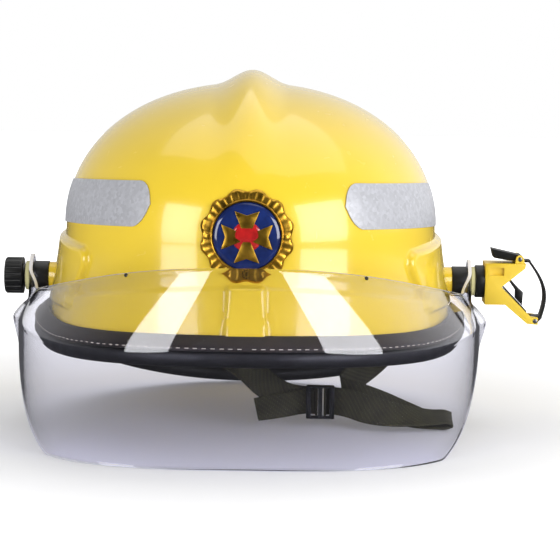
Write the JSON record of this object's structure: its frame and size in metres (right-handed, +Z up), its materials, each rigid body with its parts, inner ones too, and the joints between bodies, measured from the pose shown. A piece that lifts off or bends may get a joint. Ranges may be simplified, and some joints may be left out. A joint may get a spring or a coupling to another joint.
{
  "type": "fire helmet",
  "caption": "Fire helmet with a crested shell, clear tilting visor, leather rim skirt, head cradle with ratchet, chin strap and a torch clamp on the visor pivot.",
  "frame": {"origin": "on the surface that the helmet stands on, in the shell's middle plane, below the axis of the visor's pivots", "axes": "+X towards the torch clamp, along the pivots' axis; -Y is the front; +Z up"},
  "size_m": [0.3506, 0.3364, 0.2277],
  "materials": {
    "shell_yellow": "glossy moulded shell",
    "clamp_yellow": "satin moulded",
    "liner_foam": "moulded foam",
    "skirt_leather": "grained leather",
    "hem_rubber": "matt",
    "reflective": "retroreflective sheet",
    "gilt": "polished gilt",
    "blue_enamel": "enamel",
    "cradle_plastic": "moulded nylon",
    "black_plastic": "moulded nylon",
    "black_webbing": "woven",
    "olive_webbing": "woven",
    "pale_plastic": "moulded",
    "steel": "zinc plated",
    "visor_clear": "clear moulded sheet"
  },
  "bodies": {
    "helmet": {"outer_shell": "shell_yellow", "knob_side_boss": "shell_yellow", "clamp_side_boss": "shell_yellow", "impact_liner": "liner_foam", "rim_skirt": "skirt_leather", "hem_piping": "hem_rubber", "front_patches": "reflective", "rear_patches": "reflective", "badge_plate": "gilt", "badge_field": "blue_enamel", "badge_cross": "gilt", "badge_studs": "gilt", "headband": "cradle_plastic", "sweatband": "skirt_leather", "crown_straps": "black_webbing", "crown_pad": "liner_foam", "strap_hangers": "cradle_plastic", "hanger_rivets": "steel", "ratchet_housing": "cradle_plastic", "ratchet_cover": "cradle_plastic", "chin_strap_left": "olive_webbing", "chin_strap_right": "olive_webbing", "chin_anchors": "steel", "chin_rivets": "steel", "chin_buckle": "black_plastic", "chin_tail": "olive_webbing", "spacers": "black_plastic", "knob_side_stud": "steel", "clamp_side_stud": "steel", "stud_nuts": "steel", "knob_side_washer": "pale_plastic", "clamp_side_washer": "pale_plastic"},
    "visor": {"visor_lens": "visor_clear", "visor_stops": "hem_rubber"},
    "knob": {"clamping_knob": "black_plastic"},
    "torch_clamp": {"clamp_collar": "black_plastic", "clamp_body": "clamp_yellow", "clamp_jaw_pad": "hem_rubber", "clamp_spring": "black_plastic", "clamp_strap_pin": "steel", "clamp_lever_pin": "steel", "clamp_catch": "clamp_yellow"},
    "clamp_lever": {"clamp_lever": "black_plastic"},
    "clamp_strap": {"clamp_strap": "hem_rubber"},
    "ratchet": {"ratchet_pinion": "cradle_plastic", "ratchet_knob": "cradle_plastic"},
    "rack_upper": {"rack_upper": "cradle_plastic"},
    "rack_lower": {"rack_lower": "cradle_plastic"}
  },
  "joints": [
    {"name": "visor_tilt", "type": "hinge", "parent": "helmet", "child": "visor", "pos_m": [0, 0, 0.093], "axis": [-1, 0, 0], "range_deg": [0, 80]},
    {"name": "knob_turn", "type": "hinge", "parent": "helmet", "child": "knob", "pos_m": [-0.152, 0, 0.093], "axis": [-1, 0, 0], "continuous": true},
    {"name": "torch_tilt", "type": "hinge", "parent": "helmet", "child": "torch_clamp", "pos_m": [0.149, 0, 0.093], "axis": [1, 0, 0], "range_deg": [-40, 40]},
    {"name": "lever_flip", "type": "hinge", "parent": "torch_clamp", "child": "clamp_lever", "pos_m": [0.1737, 0, 0.1085], "axis": [0, 1, 0], "range_deg": [0, 100]},
    {"name": "strap_swing", "type": "hinge", "parent": "torch_clamp", "child": "clamp_strap", "pos_m": [0.1843, 0, 0.0686], "axis": [0, 1, 0], "range_deg": [0, 75]},
    {"name": "ratchet_turn", "type": "hinge", "parent": "helmet", "child": "ratchet", "pos_m": [0, 0.09, 0.094], "axis": [0, 1, 0], "range_deg": [0, 160]},
    {"name": "rack_upper_slide", "type": "slide", "parent": "helmet", "child": "rack_upper", "axis": [1, 0, 0], "range_m": [0, 0.014]},
    {"name": "rack_lower_slide", "type": "slide", "parent": "helmet", "child": "rack_lower", "axis": [-1, 0, 0], "range_m": [0, 0.014]}
  ],
  "couplings": [
    {"joint": "rack_upper_slide", "follows": "ratchet_turn", "m_per_rad": 0.005},
    {"joint": "rack_lower_slide", "follows": "ratchet_turn", "m_per_rad": 0.005}
  ]
}
